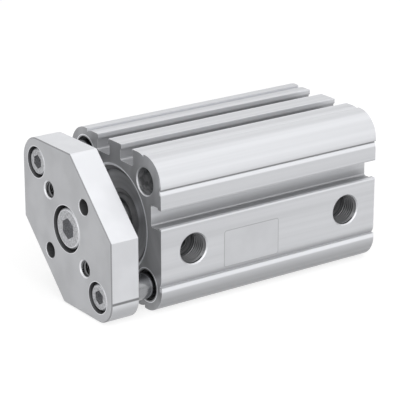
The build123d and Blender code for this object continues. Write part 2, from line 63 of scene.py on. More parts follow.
class Slot(Enum):
    """Material slots of the record."""

    BODY = "body_anodised"
    PLATE = "plate_anodised"


class Face(Enum):
    """Faces of the extrusion that fine lines run along."""

    SIDE = "side"
    TOP = "top"


class Effect(Enum):
    """Shader node groups that several finishes share."""

    DRAWN_LINES = "drawn_lines"
    FINE_GRAIN = "fine_grain"
    TURNED_MARKS = "turned_marks"
    FACE_SPLIT = "face_split"
    EDGE_BAND = "edge_band"
    HOLE_RIM = "hole_rim"
    HOLE_SHADE = "hole_shade"
    BORE_WALL = "bore_wall"
    LINE_BAND = "line_band"


def grey(level: float) -> Four:
    """Turns a displayed grey into a linear colour with a slight cool tint.

    Args:
        level: Displayed brightness, 0 to 1.

    Returns:
        A linear colour with alpha.
    """
    shown = [level * part for part in COOL_TINT]
    red, green, blue = (c / 12.92 if c <= 0.04045 else ((c + 0.055) / 1.055) ** 2.4 for c in shown)
    return (red, green, blue, 1.0)


class Bench:
    """Lays nodes into one node tree and links them."""

    def __init__(self, tree: bpy.types.NodeTree) -> None:
        """Keeps the tree that the nodes go into."""
        self.tree = tree

    @classmethod
    def fresh(cls, owner: bpy.types.Material | bpy.types.World) -> "Bench":
        """Gives an owner an empty node tree.

        Args:
            owner: The material or the world.

        Returns:
            The bench of its tree.
        """
        owner.use_nodes = True
        owner.node_tree.nodes.clear()
        return cls(owner.node_tree)

    def node(
        self, kind: str, inputs: dict[str | int, Source] | None = None, **settings: object
    ) -> bpy.types.Node:
        """Adds a node.

        Args:
            kind: Blender's name for the kind of node.
            inputs: What goes into it, by the input's name or number.
            **settings: Properties to set on it.

        Returns:
            The new node.
        """
        made = self.tree.nodes.new(kind)
        for name, value in settings.items():
            setattr(made, name, value)
        for key, source in (inputs or {}).items():
            self.feed(source, made.inputs[key])
        return made

    def feed(self, source: Source, target: Socket) -> None:
        """Links a socket to a target, or writes a plain value on it.

        Args:
            source: The socket or value that goes in.
            target: The input that takes it.
        """
        if isinstance(source, Socket):
            self.tree.links.new(source, target)
        else:
            target.default_value = source

    def math(self, operation: str, first: Source, second: Source = 0.0) -> Socket:
        """Adds a Math node and gives its result."""
        return self.node("ShaderNodeMath", {0: first, 1: second}, operation=operation).outputs[0]

    def plus(self, first: Source, second: Source) -> Socket:
        """Adds two values."""
        return self.math("ADD", first, second)

    def minus(self, first: Source, second: Source) -> Socket:
        """Takes the second value from the first."""
        return self.math("SUBTRACT", first, second)

    def times(self, first: Source, second: Source) -> Socket:
        """Multiplies two values."""
        return self.math("MULTIPLY", first, second)

    def size(self, value: Source) -> Socket:
        """Gives a value without its sign."""
        return self.math("ABSOLUTE", value)

    def fade(self, mask: Socket, low: Source, high: Source) -> Socket:
        """Goes from a low value to a high one as a mask rises from 0 to 1."""
        return self.plus(low, self.times(mask, self.minus(high, low)))

    def blend(self, factor: Source, low: Source, high: Source) -> Socket:
        """Mixes two colours, the low one at factor 0 and the high one at 1."""
        mixed = {"Factor": factor, 6: low, 7: high}
        return self.node("ShaderNodeMix", mixed, data_type="RGBA").outputs[2]

    def over(self, colour: Source, mask: Socket, top: Source, strength: float) -> Socket:
        """Lays a top colour over another where a mask shows it, up to a strength."""
        return self.blend(self.times(mask, strength), colour, top)

    def ramp(self, value: Source, start: Source, end: Source, low: float = 0.0, high: float = 1.0) -> Socket:
        """Maps a value smoothly, so that it is low at the start and high at the end."""
        span = {"Value": value, "From Min": start, "From Max": end, "To Min": low, "To Max": high}
        return self.node("ShaderNodeMapRange", span, interpolation_type="SMOOTHSTEP").outputs["Result"]

    def noise(self, place: Source, scale: Source, detail: float, roughness: float) -> Socket:
        """Reads a noise of 0 to 1 at a place, with its cells per metre and its finer layers."""
        read = {"Vector": place, "Scale": scale, "Detail": detail, "Roughness": roughness}
        return self.node("ShaderNodeTexNoise", read).outputs["Fac"]

    def vector(self, operation: str, first: Source, second: Source = (0.0, 0.0, 0.0)) -> bpy.types.Node:
        """Adds a Vector Math node, whose outputs are Vector and Value."""
        return self.node("ShaderNodeVectorMath", {0: first, 1: second}, operation=operation)

    def scaled(self, place: Source, factors: Triple) -> Socket:
        """Stretches a place by a factor along each axis."""
        return self.vector("MULTIPLY", place, factors).outputs["Vector"]

    def parts(self, place: Source) -> tuple[Socket, ...]:
        """Splits a place or a normal into its X, Y and Z values."""
        return tuple(self.node("ShaderNodeSeparateXYZ", {0: place}).outputs)

    def on_x(self, value: Socket) -> Socket:
        """Makes a place on the X axis from a value."""
        return self.node("ShaderNodeCombineXYZ", {0: value}).outputs[0]

    def radius(self, place: Source, centre: Source) -> Socket:
        """Gives the distance of a place from a line along X through a centre."""
        offset = self.vector("SUBTRACT", place, centre).outputs["Vector"]
        return self.vector("LENGTH", self.scaled(offset, (0.0, 1.0, 1.0))).outputs["Value"]


class EffectShelf:
    """Builds each shared node group once and places it in materials."""

    TONE_SPAN = (0.3, 0.7)
    END_FACE = (0.86, 0.97)
    TILTED = (0.3, 0.55)

    def __init__(self) -> None:
        """Starts with no group built."""
        self.built: dict[Effect, bpy.types.NodeTree] = {}

    def group(self, effect: Effect) -> bpy.types.NodeTree:
        """Finds the group of an effect, and builds it at its first use.

        Args:
            effect: Which effect.

        Returns:
            Its group.
        """
        if effect not in self.built:
            self.built[effect] = getattr(self, effect.value)()
        return self.built[effect]

    def place(self, bench: Bench, effect: Effect, **inputs: Source) -> bpy.types.NodeOutputs:
        """Places an effect in a material, with its inputs by name, and gives its outputs."""
        return bench.node("ShaderNodeGroup", inputs, node_tree=self.group(effect)).outputs

    def start(self, effect: Effect, **inputs: float | None) -> tuple[Bench, list[Socket]]:
        """Starts a group.

        Args:
            effect: The effect that it is for.
            **inputs: Its inputs with their first values, and None for one that is a vector.

        Returns:
            The group's bench and its inputs in order.
        """
        tree = bpy.data.node_groups.new(effect.value, "ShaderNodeTree")
        for label, value in inputs.items():
            kind = "NodeSocketVector" if value is None else "NodeSocketFloat"
            socket = tree.interface.new_socket(label, in_out="INPUT", socket_type=kind)
            if value is not None:
                socket.default_value = value
        bench = Bench(tree)
        entry = bench.node("NodeGroupInput")
        return bench, [entry.outputs[label] for label in inputs]

    def end(self, bench: Bench, **outputs: Socket) -> bpy.types.NodeTree:
        """Ends a group.

        Args:
            bench: The group's bench.
            **outputs: What it gives, by output name.

        Returns:
            The group.
        """
        for label in outputs:
            bench.tree.interface.new_socket(label, in_out="OUTPUT", socket_type="NodeSocketFloat")
        bench.node("NodeGroupOutput", outputs)
        return bench.tree

    def drawn_lines(self) -> bpy.types.NodeTree:
        """Builds the long fine lines that a die leaves along an extrusion, which run along X.

        Returns:
            The group.
        """
        stretch, broad_scale, fine_share = 0.012, 0.17, 0.6
        bench, (place, lines) = self.start(Effect.DRAWN_LINES, Place=None, Lines=900.0)
        along = bench.scaled(place, (stretch, 1.0, 1.0))
        fine = bench.noise(along, lines, detail=4.0, roughness=0.6)
        broad = bench.noise(along, bench.times(lines, broad_scale), detail=2.0, roughness=0.5)
        height = bench.plus(bench.times(fine, fine_share), bench.times(broad, 1 - fine_share))
        return self.end(bench, Height=height, Tone=bench.ramp(broad, *self.TONE_SPAN))

    def fine_grain(self) -> bpy.types.NodeTree:
        """Builds the even matt grain of an etched or moulded surface, with slow clouds in its tone.

        Returns:
            The group.
        """
        cloud_scale = 0.02
        bench, (place, grains) = self.start(Effect.FINE_GRAIN, Place=None, Grains=4000.0)
        height = bench.noise(place, grains, detail=3.0, roughness=0.6)
        clouds = bench.noise(place, bench.times(grains, cloud_scale), detail=2.0, roughness=0.5)
        return self.end(bench, Height=height, Tone=bench.ramp(clouds, *self.TONE_SPAN))

    def turned_marks(self) -> bpy.types.NodeTree:
        """Builds the rings that a cutting tool leaves about a line along X through a centre.

        Returns:
            The group.
        """
        broad_scale = 0.12
        inputs = {"Place": None, "Centre": None, "Rings": 3000.0}
        bench, (place, centre, rings) = self.start(Effect.TURNED_MARKS, **inputs)
        away = bench.on_x(bench.radius(place, centre))
        height = bench.noise(away, rings, detail=3.0, roughness=0.55)
        broad = bench.noise(away, bench.times(rings, broad_scale), detail=1.0, roughness=0.5)
        return self.end(bench, Height=height, Tone=bench.ramp(broad, *self.TONE_SPAN))

    def face_split(self) -> bpy.types.NodeTree:
        """Builds masks of the faces that look along X and of the broken edges between them and the sides.

        Returns:
            The group.
        """
        bench, (normal,) = self.start(Effect.FACE_SPLIT, Normal=None)
        along = bench.size(bench.parts(normal)[0])
        tilted = bench.times(bench.ramp(along, *self.TILTED), bench.ramp(along, *self.END_FACE, 1.0, 0.0))
        return self.end(bench, Ends=bench.ramp(along, *self.END_FACE), Broken=tilted)

    def edge_band(self) -> bpy.types.NodeTree:
        """Builds a narrow uneven band on each side of a value, for a painted highlight along an edge.

        Returns:
            The group.
        """
        uneven_scale, uneven_span = 700.0, (0.25, 0.75)
        narrow, wide, solid = 0.45, 1.3, 0.4
        inputs = {"Place": None, "Value": 0.0, "Edge": 0.0, "Width": 0.2 * MM}
        bench, (place, value, edge, width) = self.start(Effect.EDGE_BAND, **inputs)
        uneven = bench.noise(place, uneven_scale, detail=2.0, roughness=0.6)
        reach = bench.times(width, bench.ramp(uneven, *uneven_span, narrow, wide))
        near = bench.math("DIVIDE", bench.size(bench.minus(value, edge)), reach)
        return self.end(bench, Mask=bench.ramp(near, solid, 1.0, 1.0, 0.0))

    def hole_rim(self) -> bpy.types.NodeTree:
        """Builds a mask of a thin ring round a hole that runs along X, where a rim is laid lighter, as for a
        painted highlight.

        Returns:
            The group.
        """
        solid = 0.5
        inputs = {"Place": None, "Centre": None, "Radius": 5 * MM, "Width": 0.2 * MM}
        bench, (place, centre, radius, width) = self.start(Effect.HOLE_RIM, **inputs)
        outside = bench.minus(bench.radius(place, centre), radius)
        near = bench.math("DIVIDE", bench.size(outside), width)
        return self.end(bench, Mask=bench.ramp(near, solid, 1.0, 1.0, 0.0))

    def bore_wall(self) -> bpy.types.NodeTree:
        """Builds a mask of all that lies within a radius of a line along X, such as a bore's wall.

        Returns:
            The group.
        """
        soft = 0.04 * MM
        inputs = {"Place": None, "Centre": None, "Radius": 5 * MM}
        bench, (place, centre, radius) = self.start(Effect.BORE_WALL, **inputs)
        inner, outer = bench.minus(radius, soft), bench.plus(radius, soft)
        return self.end(bench, Mask=bench.ramp(bench.radius(place, centre), inner, outer, 1.0, 0.0))

    def line_band(self) -> bpy.types.NodeTree:
        """Builds a soft line along X where one value is at a place and another is past a limit.

        Returns:
            The group.
        """
        solid = 0.35
        inputs = {"Value": 0.0, "Edge": 0.0, "Width": 0.3 * MM, "Other": 1.0, "Limit": 0.0}
        bench, (value, edge, width, other, limit) = self.start(Effect.LINE_BAND, **inputs)
        near = bench.math("DIVIDE", bench.size(bench.minus(value, edge)), width)
        past = bench.math("GREATER_THAN", other, limit)
        return self.end(bench, Mask=bench.times(bench.ramp(near, solid, 1.0, 1.0, 0.0), past))

    def hole_shade(self) -> bpy.types.NodeTree:
        """Builds a mask that rises with depth in a blind hole along Y, for painted shade, and the rings of
        its drill.

        Returns:
            The group.
        """
        edge, lit, dark = 1.04, 0.04, 0.9
        past_floor, gone = 1.2, 1.3
        ring_scale, ring_span = 2400.0, (0.4, 0.6)
        inputs = {"Place": None, "Centre": None, "Radius": 5 * MM, "Depth": 7 * MM}
        bench, (place, centre, radius, depth) = self.start(Effect.HOLE_SHADE, **inputs)
        offset = bench.vector("SUBTRACT", place, centre).outputs["Vector"]
        away = bench.vector("LENGTH", bench.scaled(offset, (1.0, 0.0, 1.0))).outputs["Value"]
        inside = bench.ramp(away, radius, bench.times(radius, edge), 1.0, 0.0)
        sunk = bench.times(bench.parts(offset)[1], -1.0)
        deep = bench.ramp(sunk, bench.times(depth, lit), bench.times(depth, dark))
        near = bench.ramp(sunk, bench.times(depth, gone), bench.times(depth, past_floor))
        mask = bench.times(bench.times(inside, deep), near)
        rings = bench.noise(bench.on_x(away), ring_scale, detail=1.0, roughness=0.5)
        return self.end(bench, Mask=mask, Rings=bench.ramp(rings, *ring_span))


@dataclass(frozen=True)
class Surface:
    """What a finish is laid on: a material's bench and shader, the effects, the skin's place and normal."""

    bench: Bench
    effects: EffectShelf
    shader: bpy.types.Node
    place: Socket
    normal: Socket

    def effect(self, effect: Effect, **inputs: Source) -> bpy.types.NodeOutputs:
        """Places an effect that reads where the skin is."""
        return self.effects.place(self.bench, effect, Place=self.place, **inputs)

    def split(self) -> bpy.types.NodeOutputs:
        """Places the masks of end faces and broken edges."""
        return self.effects.place(self.bench, Effect.FACE_SPLIT, Normal=self.normal)

    def line(self, value: Source, edge: float, width: float, other: Source, limit: float) -> Socket:
        """Places a line where a value is at an edge, on the face where another is past a limit."""
        ends = {"Value": value, "Edge": edge, "Width": width, "Other": other, "Limit": limit}
        return self.effects.place(self.bench, Effect.LINE_BAND, **ends)["Mask"]

    def under(self, full: float, weight: float) -> Socket:
        """Finds the skin that looks down, for painted shade: the weight where that part of the normal is
        full.
        """
        down = self.bench.times(self.bench.parts(self.normal)[2], -1.0)
        return self.bench.ramp(down, LEVEL_SKIN, full, 0.0, weight)

    def put(self, name: str, source: Source) -> None:
        """Feeds an input of the shader."""
        self.bench.feed(source, self.shader.inputs[name])

    def rough(self, middle: float, tone: Socket, spread: float) -> None:
        """Spreads the roughness about a middle by a tone, smoother where the tone is light."""
        self.put("Roughness", self.bench.ramp(tone, 0.0, 1.0, middle + spread / 2, middle - spread / 2))

    def bump(self, height: Socket, strength: float, distance: float) -> None:
        """Raises the skin by a height, with the strength and distance of a Bump node."""
        raised = {"Strength": strength, "Distance": distance, "Height": height}
        self.put("Normal", self.bench.node("ShaderNodeBump", raised).outputs[0])


@dataclass(frozen=True)
class Finish:
    """One surface finish. Its level is the displayed grey of the skin, and subclasses lay its detail."""

    name: str
    level: float
    metallic: float = 1.0
    roughness: float = 0.4

    def build(self, effects: EffectShelf) -> bpy.types.Material:
        """Builds the material.

        Args:
            effects: The shelf of shared node groups.

        Returns:
            The finished material.
        """
        material = bpy.data.materials.new(self.name)
        bench = Bench.fresh(material)
        shader = bench.node("ShaderNodeBsdfPrincipled")
        shader.inputs["Metallic"].default_value = self.metallic
        bench.node("ShaderNodeOutputMaterial", {"Surface": shader.outputs[0]})
        found = bench.node("ShaderNodeTexCoord").outputs
        self.lay(Surface(bench, effects, shader, found["Object"], found["Normal"]))
        return material

    def tone(self, share: float) -> Four:
        """Gives the finish's own grey, lighter or darker by a share of its level."""
        return grey(min(1.0, self.level * share))

    def lay(self, on: Surface) -> None:
        """Lays the plain finish: a grain and a slight change of tone.

        Args:
            on: What it is laid on.
        """
        grain = on.effect(Effect.FINE_GRAIN, Grains=4000.0)
        on.put("Base Color", on.bench.blend(grain["Tone"], self.tone(0.96), self.tone(1.03)))
        on.rough(self.roughness, grain["Tone"], spread=0.05)
        on.bump(grain["Height"], strength=0.15, distance=0.02 * MM)


@dataclass(frozen=True)
class SkinLine:
    """One line along the extrusion, laid as painted shade or a painted highlight: in a groove, on a lip,
    along a slot's edge or across a lobe.
    """

    face: Face
    place: float
    width: float
    level: float
    strength: float


@dataclass(frozen=True)
class Extrusion(Finish):
    """Clear-anodised extrusion: drawn lines along its sides, a sawn rear and a milled front."""

    length: float = 84 * MM
    end_level: float = 0.66
    sawn_spread: float = 0.05
    milled_spread: float = 0.04
    shade_share: float = 0.62
    edge_highlight_level: float = 0.94
    edge_highlight_width: float = 0.12 * MM
    side_face: float = 23.8 * MM
    top_face: float = 24.4 * MM
    slot_height: float = 6.25 * MM
    slot_offset: float = 6.5 * MM
    slot_half: float = 3.6 * MM
    slot_mouth: float = 23.8 * MM
    slot_fade: float = 0.6 * MM
    slot_floor: float = 18 * MM
    slot_shade_share: float = 0.42
    slot_shade_weight: float = 0.38
    low_shade_weight: float = 0.36
    floor_shade_weight: float = 0.22
    port_radius: float = 5.2 * MM
    port_depth: float = 7.4 * MM
    port_levels: Pair = (0.22, 0.52)
    bore_levels: Pair = (0.30, 0.62)
    bore_slack: float = 0.1 * MM
    skin_lines: tuple[SkinLine, ...] = ()
    shaded_bores: tuple[Triple, ...] = ()
    rims: tuple[Four, ...] = ()
    port_mouths: tuple[Triple, ...] = ()

    def lay(self, on: Surface) -> None:
        """Lays the sides and ends, then the fine lines, the bores, the ports and the painted highlights along
        the end edges.

        Args:
            on: What it is laid on.
        """
        bench = on.bench
        ends = on.split()["Ends"]
        lines = on.effect(Effect.DRAWN_LINES, Lines=2600.0)
        grain = on.effect(Effect.FINE_GRAIN, Grains=5000.0)
        arcs = on.effect(Effect.TURNED_MARKS, Centre=(0.0, 50 * MM, 12 * MM), Rings=2200.0)
        along = bench.parts(on.place)[0]
        at_front = bench.ramp(along, self.length * 0.5, self.length * 0.6)
        sides = bench.blend(lines["Tone"], self.tone(0.97), self.tone(1.015))
        # Painted shade: the skin that looks down is set darker.
        sides = bench.blend(on.under(full=0.5, weight=0.5), sides, self.tone(self.shade_share))
        # Painted shade inside the slots.
        sides = self.slots(on, sides)
        # The ends' grey is the milled and sawn finish's own, set darker than the sides, which also paints
        # shade on the faces that look along X.
        sawn = self.end_face(bench, arcs["Tone"], self.sawn_spread)
        milled = self.end_face(bench, arcs["Tone"], self.milled_spread)
        colour = bench.blend(ends, sides, bench.blend(at_front, sawn, milled))
        colour = self.lined(on, colour)
        colour = self.bores(on, colour, ends, at_front)
        colour = self.ports(on, colour)
        on.put("Base Color", self.edges(on, colour, along, ends))
        on.rough(self.roughness, lines["Tone"], spread=0.08)
        height = bench.plus(lines["Height"], bench.times(grain["Height"], 0.25))
        on.bump(bench.fade(ends, height, arcs["Height"]), strength=0.2, distance=0.025 * MM)

    def end_face(self, bench: Bench, tone: Socket, spread: float) -> Socket:
        """Gives an end face's colour, whose arcs lie lighter and darker than its level by a share."""
        return bench.blend(tone, grey(self.end_level * (1 - spread)), grey(self.end_level * (1 + spread)))

    def in_slot(self, bench: Bench, aside: Socket, out: Socket) -> Socket:
        """Finds the inside of a slot.

        Args:
            bench: The material's bench.
            aside: Distance from the slot's middle, along the face that it is cut in.
            out: Distance from the body's middle, towards that face.

        Returns:
            A mask that is 1 inside the slot.
        """
        within = bench.math("LESS_THAN", bench.size(aside), self.slot_half)
        sunk = bench.ramp(out, self.slot_mouth, self.slot_mouth - self.slot_fade)
        above_floor = bench.math("GREATER_THAN", out, self.slot_floor)
        return bench.times(bench.times(within, sunk), above_floor)

    def slots(self, on: Surface, colour: Socket) -> Socket:
        """Paints shade inside the slots, darkest low down and on the upward-facing floor in the one on the
        port side.

        Args:
            on: What the finish is laid on.
            colour: The colour so far.

        Returns:
            The colour with painted shade in the slots.
        """
        bench = on.bench
        _, across, up = bench.parts(on.place)
        level = bench.minus(up, self.slot_height)
        fall = bench.ramp(level, self.slot_half * 0.1, self.slot_half * -0.9, 0.0, self.low_shade_weight)
        floor = bench.ramp(bench.parts(on.normal)[2], 0.4, 0.8, 0.0, self.floor_shade_weight)
        port_side = bench.times(self.in_slot(bench, level, across), bench.plus(fall, floor))
        aside = bench.minus(bench.size(across), self.slot_offset)
        others = bench.times(self.in_slot(bench, aside, bench.size(up)), self.slot_shade_weight)
        return bench.blend(bench.plus(port_side, others), colour, self.tone(self.slot_shade_share))

    def lined(self, on: Surface, colour: Socket) -> Socket:
        """Lays the lines that run the length of the extrusion, which are painted shade and painted
        highlights.

        Args:
            on: What the finish is laid on.
            colour: The colour so far.

        Returns:
            The colour with the lines.
        """
        bench = on.bench
        _, across, up = bench.parts(on.place)
        far_across, far_up = bench.size(across), bench.size(up)
        lies = {
            Face.SIDE: (up, far_across, self.side_face),
            Face.TOP: (far_across, far_up, self.top_face),
        }
        for line in self.skin_lines:
            value, other, limit = lies[line.face]
            mask = on.line(value, line.place, line.width, other, limit)
            colour = bench.over(colour, mask, grey(line.level), line.strength)
        return colour

    def bores(self, on: Surface, colour: Socket, ends: Socket, at_front: Socket) -> Socket:
        """Paints shade on the front bores' walls, with the chatter of their cutter, and paints highlights on
        their rims.

        Args:
            on: What the finish is laid on.
            colour: The colour so far.
            ends: Mask of the faces that look along X.
            at_front: Mask of the front half.

        Returns:
            The colour with painted shade in the bores and painted highlights on the rims.
        """
        bench = on.bench
        dark, light = (grey(level) for level in self.bore_levels)
        cuts = bench.noise(bench.scaled(on.place, (1.0, 0.5, 0.5)), 900.0, detail=3.0, roughness=0.6)
        wall = bench.blend(bench.ramp(cuts, 0.35, 0.68), dark, light)
        walls = bench.times(bench.minus(1.0, ends), at_front)
        for y, z, radius in self.shaded_bores:
            inside = on.effect(Effect.BORE_WALL, Centre=(0.0, y, z), Radius=radius + self.bore_slack)
            colour = bench.over(colour, bench.times(inside["Mask"], walls), wall, strength=0.85)
        for y, z, radius, width in self.rims:
            rim = on.effect(Effect.HOLE_RIM, Centre=(0.0, y, z), Radius=radius, Width=width)
            colour = bench.blend(bench.times(rim["Mask"], at_front), colour, grey(1.0))
        return colour

    def ports(self, on: Surface, colour: Socket) -> Socket:
        """Paints shade in the ports, darker with depth, and lays the drill's rings on their floors.

        Args:
            on: What the finish is laid on.
            colour: The colour so far.

        Returns:
            The colour with painted shade in the ports.
        """
        dark, light = (grey(level) for level in self.port_levels)
        for mouth in self.port_mouths:
            hole = on.effect(Effect.HOLE_SHADE, Centre=mouth, Radius=self.port_radius, Depth=self.port_depth)
            drilled = on.bench.blend(hole["Rings"], dark, light)
            colour = on.bench.over(colour, hole["Mask"], drilled, strength=0.9)
        return colour

    def edges(self, on: Surface, colour: Socket, along: Socket, ends: Socket) -> Socket:
        """Paints highlights on the sides along the front and rear edges.

        Args:
            on: What the finish is laid on.
            colour: The colour so far.
            along: The skin's place along X.
            ends: Mask of the faces that look along X.

        Returns:
            The colour with painted highlights along the edges.
        """
        bench = on.bench
        front, rear = (
            on.effect(Effect.EDGE_BAND, Value=along, Edge=edge, Width=self.edge_highlight_width)["Mask"]
            for edge in (self.length, 0.0)
        )
        # Painted highlight: a bright band where the sides meet the ends.
        highlighted = bench.times(bench.math("MAXIMUM", front, rear), bench.minus(1.0, ends))
        return bench.over(colour, highlighted, grey(self.edge_highlight_level), strength=0.6)


@dataclass(frozen=True)
class MilledPlate(Finish):
    """Milled and anodised plate: fine arcs on its two faces, painted shade on its broken edges, painted
    highlights and shade in its holes.
    """

    face_level: float = 0.74
    broken_level: float = 0.58
    shade_share: float = 0.62
    step_level: float = 0.40
    step_width: float = 0.6 * MM
    round_start: float = 17 * MM
    side_face: float = 24.4 * MM
    bright_level: float = 0.93
    bore_level: float = 0.34
    sink_slack: float = 0.7 * MM
    bore_slack: float = 0.1 * MM
    rim_slack: float = 0.12 * MM
    rim_width: float = 0.16 * MM
    rims: tuple[Triple, ...] = ()
    holes: tuple[Triple, ...] = ()

    def lay(self, on: Surface) -> None:
        """Lays the faces with their arcs, the sides with painted shade underneath and along the crease, the
        broken edges and the holes.

        Args:
            on: What it is laid on.
        """
        bench = on.bench
        split = on.split()
        grain = on.effect(Effect.FINE_GRAIN, Grains=5000.0)
        arcs = on.effect(Effect.TURNED_MARKS, Centre=(0.0, -60 * MM, -30 * MM), Rings=2600.0)
        sides = bench.blend(grain["Tone"], self.tone(0.98), self.tone(1.01))
        # Painted shade: the skin that looks down is set darker.
        sides = bench.blend(on.under(full=0.4, weight=0.4), sides, self.tone(self.shade_share))
        _, across, up = bench.parts(on.place)
        low, far = bench.times(up, -1.0), bench.size(across)
        # Painted shade: a dark line where the rounded corner starts on the side.
        step = on.line(low, self.round_start, self.step_width, far, self.side_face)
        sides = bench.over(sides, step, grey(self.step_level), strength=0.85)
        # The faces' grey is the milled finish's own, set darker than the sides, which also paints shade on
        # the faces that look along X.
        light = grey(self.face_level * 1.02)
        faces = bench.blend(grain["Tone"], grey(self.face_level * 0.97), light)
        faces = bench.over(faces, arcs["Tone"], light, strength=0.2)
        colour = bench.blend(split["Ends"], sides, faces)
        # Painted shade on the broken edges.
        colour = bench.blend(split["Broken"], colour, grey(self.broken_level))
        on.put("Base Color", self.hollows(on, colour, split["Ends"]))
        on.rough(self.roughness, grain["Tone"], spread=0.05)
        height = bench.plus(bench.times(arcs["Height"], 0.18), bench.times(grain["Height"], 0.5))
        on.bump(height, strength=0.2, distance=0.02 * MM)

    def hollows(self, on: Surface, colour: Socket, ends: Socket) -> Socket:
        """Lays painted highlights on the countersinks, painted shade on the walls and, round the screw sinks,
        painted highlight rims.

        Args:
            on: What the finish is laid on.
            colour: The colour so far.
            ends: Mask of the faces that look along X.

        Returns:
            The colour with its holes.
        """
        bench = on.bench
        bright, dark = grey(self.bright_level), grey(self.bore_level)
        not_end = bench.minus(1.0, ends)
        for y, z, radius in self.rims + self.holes:
            for reach, level in ((radius + self.sink_slack, bright), (radius + self.bore_slack, dark)):
                wall = on.effect(Effect.BORE_WALL, Centre=(0.0, y, z), Radius=reach)
                colour = bench.over(colour, bench.times(wall["Mask"], not_end), level, strength=0.9)
        for y, z, radius in self.rims:
            reach = radius + self.rim_slack
            rim = on.effect(Effect.HOLE_RIM, Centre=(0.0, y, z), Radius=reach, Width=self.rim_width)
            colour = bench.over(colour, bench.times(rim["Mask"], ends), bright, strength=0.8)
        return colour


@dataclass(frozen=True)
class Turned(Finish):
    """Turned metal with rings about its own axis."""

    centre: Pair = (0.0, 0.0)
    rings: float = 3500.0
    strength: float = 0.25
    brushed: float = 0.0

    def lay(self, on: Surface) -> None:
        """Lays the tool's rings on the ends and fine hoops along the sides.

        Args:
            on: What it is laid on.
        """
        bench = on.bench
        split = on.split()
        marks = on.effect(Effect.TURNED_MARKS, Centre=(0.0, *self.centre), Rings=self.rings)
        along = bench.scaled(on.place, (1.0, 0.02, 0.02))
        hoops = bench.noise(along, self.rings * 1.5, detail=3.0, roughness=0.6)
        colour = bench.blend(marks["Tone"], self.tone(0.95), self.tone(1.04))
        on.put("Base Color", bench.blend(split["Broken"], colour, self.tone(1.12)))
        on.rough(self.roughness, marks["Tone"], spread=0.08)
        height = bench.fade(split["Ends"], hoops, marks["Height"])
        on.bump(height, strength=self.strength, distance=0.015 * MM)
        if self.brushed:
            on.shader.inputs["Anisotropic"].default_value = self.brushed
            tangent = bench.node("ShaderNodeTangent", direction_type="RADIAL", axis="X")
            bench.feed(tangent.outputs[0], on.shader.inputs["Tangent"])


@dataclass(frozen=True)
class ScrewSteel(Finish):
    """Socket screw: plated steel with a forged and pitted head top, a lighter rim and a knurled side."""

    centre: Pair = (0.0, 0.0)
    head_radius: float = 6.5 * MM
    knurls: float = 60.0
    knurl_height: float = 4.0
    rim_share: float = 0.93
    rim_width: float = 0.4 * MM

    def lay(self, on: Surface) -> None:
        """Lays the pits and rings of the top, the bright rim and the straight knurl round the head.

        Args:
            on: What it is laid on.
        """
        bench = on.bench
        centre = (0.0, *self.centre)
        grain = on.effect(Effect.FINE_GRAIN, Grains=3500.0)
        marks = on.effect(Effect.TURNED_MARKS, Centre=centre, Rings=2600.0)
        pits = bench.ramp(bench.noise(on.place, 2300.0, detail=2.0, roughness=0.7), 0.38, 0.62)
        rim = on.effect(
            Effect.HOLE_RIM, Centre=centre, Radius=self.head_radius * self.rim_share, Width=self.rim_width
        )
        tone = bench.blend(pits, self.tone(0.86), self.tone(1.08))
        on.put("Base Color", bench.over(tone, rim["Mask"], self.tone(1.35), strength=0.5))
        on.rough(self.roughness, grain["Tone"], spread=0.1)
        fine = bench.plus(bench.times(grain["Height"], 0.4), bench.times(marks["Height"], 0.3))
        on.bump(bench.plus(fine, self.knurl(on)), strength=0.35, distance=0.02 * MM)

    def knurl(self, on: Surface) -> Socket:
        """Gives the height of the knurl, on the side of the head alone.

        Args:
            on: What the finish is laid on.

        Returns:
            The height.
        """
        bench = on.bench
        _, y, z = bench.parts(on.place)
        angle = bench.math("ARCTAN2", bench.minus(z, self.centre[1]), bench.minus(y, self.centre[0]))
        waves = bench.math("SINE", bench.times(angle, self.knurls))
        away = bench.radius(on.place, (0.0, *self.centre))
        outer = bench.ramp(away, self.head_radius * 0.97, self.head_radius * 0.995)
        on_side = bench.times(outer, bench.minus(1.0, on.split()["Ends"]))
        return bench.times(waves, bench.times(on_side, self.knurl_height))


@dataclass(frozen=True)
class Rubber(Finish):
    """Sealing rubber or plastic with a moulded grain, a grey bloom and a faint greasy sheen."""

    metallic: float = 0.0
    roughness: float = 0.55
    bloom: float = 1.5

    def lay(self, on: Surface) -> None:
        """Lays the moulded grain and the bloom.

        Args:
            on: What it is laid on.
        """
        grain = on.effect(Effect.FINE_GRAIN, Grains=2500.0)
        on.put("Base Color", on.bench.blend(grain["Tone"], self.tone(1.0), self.tone(self.bloom)))
        on.shader.inputs["Sheen Weight"].default_value = 0.08
        on.rough(self.roughness, grain["Tone"], spread=0.15)
        on.bump(grain["Height"], strength=0.3, distance=0.03 * MM)


@dataclass(frozen=True)
class Bronze(Finish):
    """Sintered bronze bush: warm, porous and oily. Its level scales its tint."""

    tint: Triple = (0.50, 0.32, 0.16)
    oily: float = 0.85
    porous: float = 0.3

    def shade(self, share: float) -> Four:
        """Gives the tint, darker by a share."""
        red, green, blue = (self.level * share * part for part in self.tint)
        return (red, green, blue, 1.0)

    def lay(self, on: Surface) -> None:
        """Lays the pores and the change of tone between dry and oily metal.

        Args:
            on: What it is laid on.
        """
        bench = on.bench
        grain = on.effect(Effect.FINE_GRAIN, Grains=3000.0)
        pores = bench.ramp(bench.noise(on.place, 6000.0, detail=1.0, roughness=0.4), 0.3, 0.42, 1.0, 0.0)
        metal = bench.blend(grain["Tone"], self.shade(self.oily), self.shade(1.0))
        on.put("Base Color", bench.blend(pores, metal, self.shade(self.porous)))
        on.rough(self.roughness, grain["Tone"], spread=0.12)
        on.bump(bench.minus(grain["Height"], pores), strength=0.3, distance=0.02 * MM)


